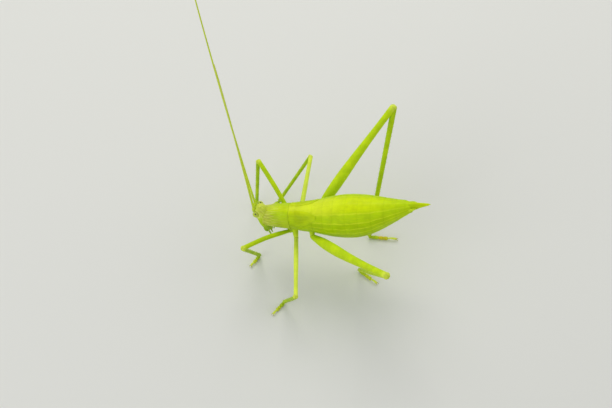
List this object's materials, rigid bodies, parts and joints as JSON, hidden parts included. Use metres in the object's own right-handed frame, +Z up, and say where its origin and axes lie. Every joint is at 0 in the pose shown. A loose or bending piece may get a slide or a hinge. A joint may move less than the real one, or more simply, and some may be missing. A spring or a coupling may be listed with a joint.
{
  "type": "female leaf katydid nymph (long-horned grasshopper), still model",
  "caption": "Life-size still model of a slender green long-horned grasshopper nymph standing on all its feet, tail raised, long feelers held up.",
  "frame": {"origin": "on the floor, under the middle of the bounding box", "axes": "+Z up; the head points to -X and the tail to +X; the animal's left side is towards -Y"},
  "size_m": [0.0378, 0.033, 0.0584],
  "materials": {
    "green_cuticle": "satin yellow-green insect cuticle",
    "leaf_green_cuticle": "satin leaf-green insect cuticle",
    "pale_cuticle": "satin pale, whitish green cuticle",
    "pronotum_cuticle": "soft satin, pale green with a rosy cast",
    "wing_pad_cuticle": "satin yellow-green wing pads",
    "antenna": "fine-ringed, dull yellow-green",
    "eye": "glossy pale olive compound eye"
  },
  "bodies": {
    "root": {"abdomen_front": "green_cuticle", "abdomen_middle": "green_cuticle", "abdomen_rear": "green_cuticle", "antenna_left_base": "antenna", "antenna_left_inner": "antenna", "antenna_left_outer": "antenna", "antenna_right_base": "antenna", "antenna_right_inner": "antenna", "antenna_right_outer": "antenna", "cercus_left": "leaf_green_cuticle", "cercus_right": "leaf_green_cuticle", "eye_left": "eye", "eye_right": "eye", "front_coxa_left": "leaf_green_cuticle", "front_coxa_right": "leaf_green_cuticle", "front_femur_left": "green_cuticle", "front_femur_right": "green_cuticle", "front_tarsus_left": "pale_cuticle", "front_tarsus_right": "pale_cuticle", "front_tibia_left": "leaf_green_cuticle", "front_tibia_right": "leaf_green_cuticle", "head": "green_cuticle", "hind_coxa_left": "leaf_green_cuticle", "hind_coxa_right": "leaf_green_cuticle", "hind_femur_left": "green_cuticle", "hind_femur_right": "green_cuticle", "hind_tarsus_left": "pale_cuticle", "hind_tarsus_right": "pale_cuticle", "hind_tibia_left": "leaf_green_cuticle", "hind_tibia_right": "leaf_green_cuticle", "mesothorax": "green_cuticle", "metathorax": "green_cuticle", "mid_coxa_left": "leaf_green_cuticle", "mid_coxa_right": "leaf_green_cuticle", "mid_femur_left": "pale_cuticle", "mid_femur_right": "pale_cuticle", "mid_tarsus_left": "pale_cuticle", "mid_tarsus_right": "pale_cuticle", "mid_tibia_left": "leaf_green_cuticle", "mid_tibia_right": "leaf_green_cuticle", "mouthparts": "leaf_green_cuticle", "ovipositor": "leaf_green_cuticle", "palp_left": "pale_cuticle", "palp_right": "pale_cuticle", "pronotum": "pronotum_cuticle", "prothorax": "green_cuticle", "wing_pad_left": "wing_pad_cuticle", "wing_pad_right": "wing_pad_cuticle"}
  },
  "joints": []
}
